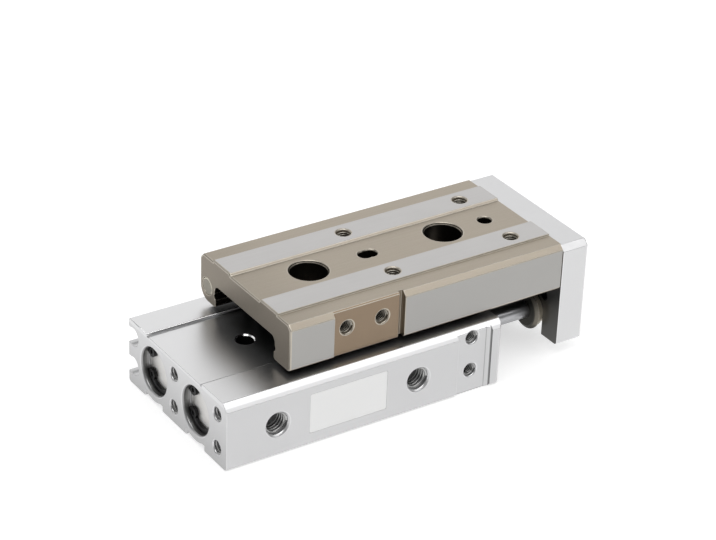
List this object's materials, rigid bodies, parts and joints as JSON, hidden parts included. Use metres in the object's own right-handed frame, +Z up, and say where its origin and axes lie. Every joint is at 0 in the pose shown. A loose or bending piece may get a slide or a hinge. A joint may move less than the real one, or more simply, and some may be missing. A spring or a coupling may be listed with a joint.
{
  "type": "pneumatic slide table",
  "caption": "Flat pneumatic slide table: an aluminium body with twin side-by-side cylinders drives a steel table on ball rows through an end plate.",
  "frame": {"origin": "middle of the body's bottom rectangle, on the underside", "axes": "+X the way the table and end plate come out, -Y the long side with the air ports, +Z up through the table"},
  "size_m": [0.0908, 0.04, 0.0274],
  "materials": {
    "body_anodised": "fine matt clear anodised",
    "table_steel": "heat-tinted hardened steel with ground strips",
    "guide_steel": "ground hardened steel",
    "screw_steel": "blackened steel",
    "ball_steel": "polished",
    "cover_plastic": "moulded black plastic",
    "seal_rubber": "matt black rubber",
    "cap_aluminium": "turned and anodised",
    "spring_steel": "phosphated spring steel",
    "rod_chrome": "hard chrome plated",
    "magnet_dark": "bonded magnet",
    "bush_steel": "dark oiled steel"
  },
  "bodies": {
    "base": {"body": "body_anodised", "guide_block": "guide_steel", "guide_block_screws": "screw_steel", "balls_near": "ball_steel", "balls_far": "ball_steel", "return_cover_rear": "cover_plastic", "return_cover_front": "cover_plastic", "return_cover_screws": "screw_steel", "scraper_rear": "seal_rubber", "scraper_front": "seal_rubber", "head_cap_near": "cap_aluminium", "head_cap_oring_near": "seal_rubber", "snap_ring_near": "spring_steel", "head_bumper_near": "seal_rubber", "rod_cover_near": "cap_aluminium", "rod_cover_oring_near": "seal_rubber", "rod_cover_ring_near": "spring_steel", "rod_seal_near": "seal_rubber", "rod_bumper_near": "seal_rubber", "head_cap_far": "cap_aluminium", "head_cap_oring_far": "seal_rubber", "snap_ring_far": "spring_steel", "head_bumper_far": "seal_rubber", "rod_cover_far": "cap_aluminium", "rod_cover_oring_far": "seal_rubber", "rod_cover_ring_far": "spring_steel", "rod_seal_far": "seal_rubber", "rod_bumper_far": "seal_rubber"},
    "slide": {"table": "table_steel", "table_plug": "table_steel", "end_plate": "body_anodised", "end_plate_screws": "screw_steel", "rod_end_screws": "screw_steel", "piston_rod_near": "rod_chrome", "piston_near": "cap_aluminium", "piston_seal_near": "seal_rubber", "piston_magnet_near": "magnet_dark", "floating_bush_near": "bush_steel", "piston_rod_far": "rod_chrome", "piston_far": "cap_aluminium", "piston_seal_far": "seal_rubber", "piston_magnet_far": "magnet_dark", "floating_bush_far": "bush_steel"}
  },
  "joints": [
    {"name": "table_slide", "type": "slide", "parent": "base", "child": "slide", "axis": [1, 0, 0], "range_m": [-0.0147, 0.0053]}
  ]
}
